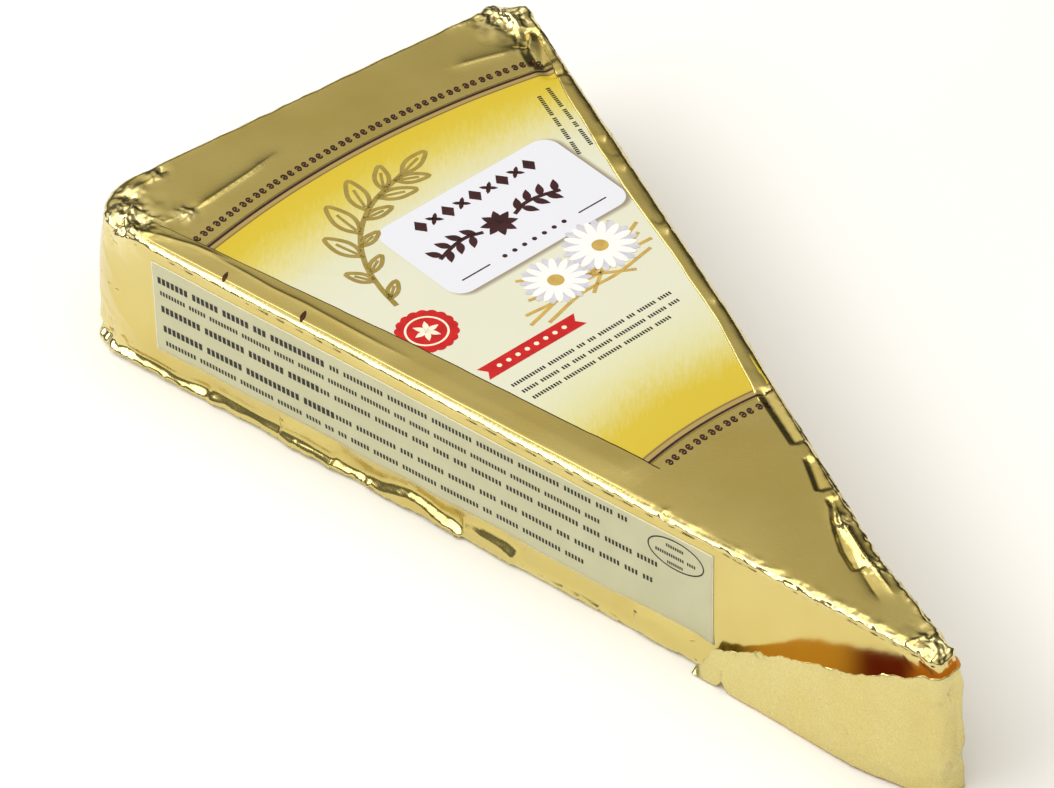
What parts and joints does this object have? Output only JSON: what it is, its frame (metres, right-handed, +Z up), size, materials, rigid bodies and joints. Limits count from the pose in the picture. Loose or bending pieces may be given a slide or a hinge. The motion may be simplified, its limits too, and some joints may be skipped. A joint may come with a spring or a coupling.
{
  "type": "foil wrapped cheese wedge",
  "caption": "Long flat wedge of soft cheese, shut in gold foil with a printed top field, a paper side label and a loose foil flap at its point.",
  "frame": {"origin": "under the middle of the part's box, on the surface it rests on", "axes": "+Z up out of the printed top, +Y from the wedge's point to its back, +X to the right seen from the point"},
  "size_m": [0.0844, 0.1676, 0.0272],
  "materials": {
    "gold_foil": "satin gold foil, finely grained, crumpled at edges",
    "printed_paper": "semi-gloss printed paper, yellow fading to cream",
    "label_paper": "semi-gloss grey-green paper",
    "flap_foil": "satin pale gold foil"
  },
  "bodies": {
    "root": {"foil_wrapper": "gold_foil", "top_label": "printed_paper", "side_label": "label_paper", "tip_flap": "flap_foil"}
  },
  "joints": []
}
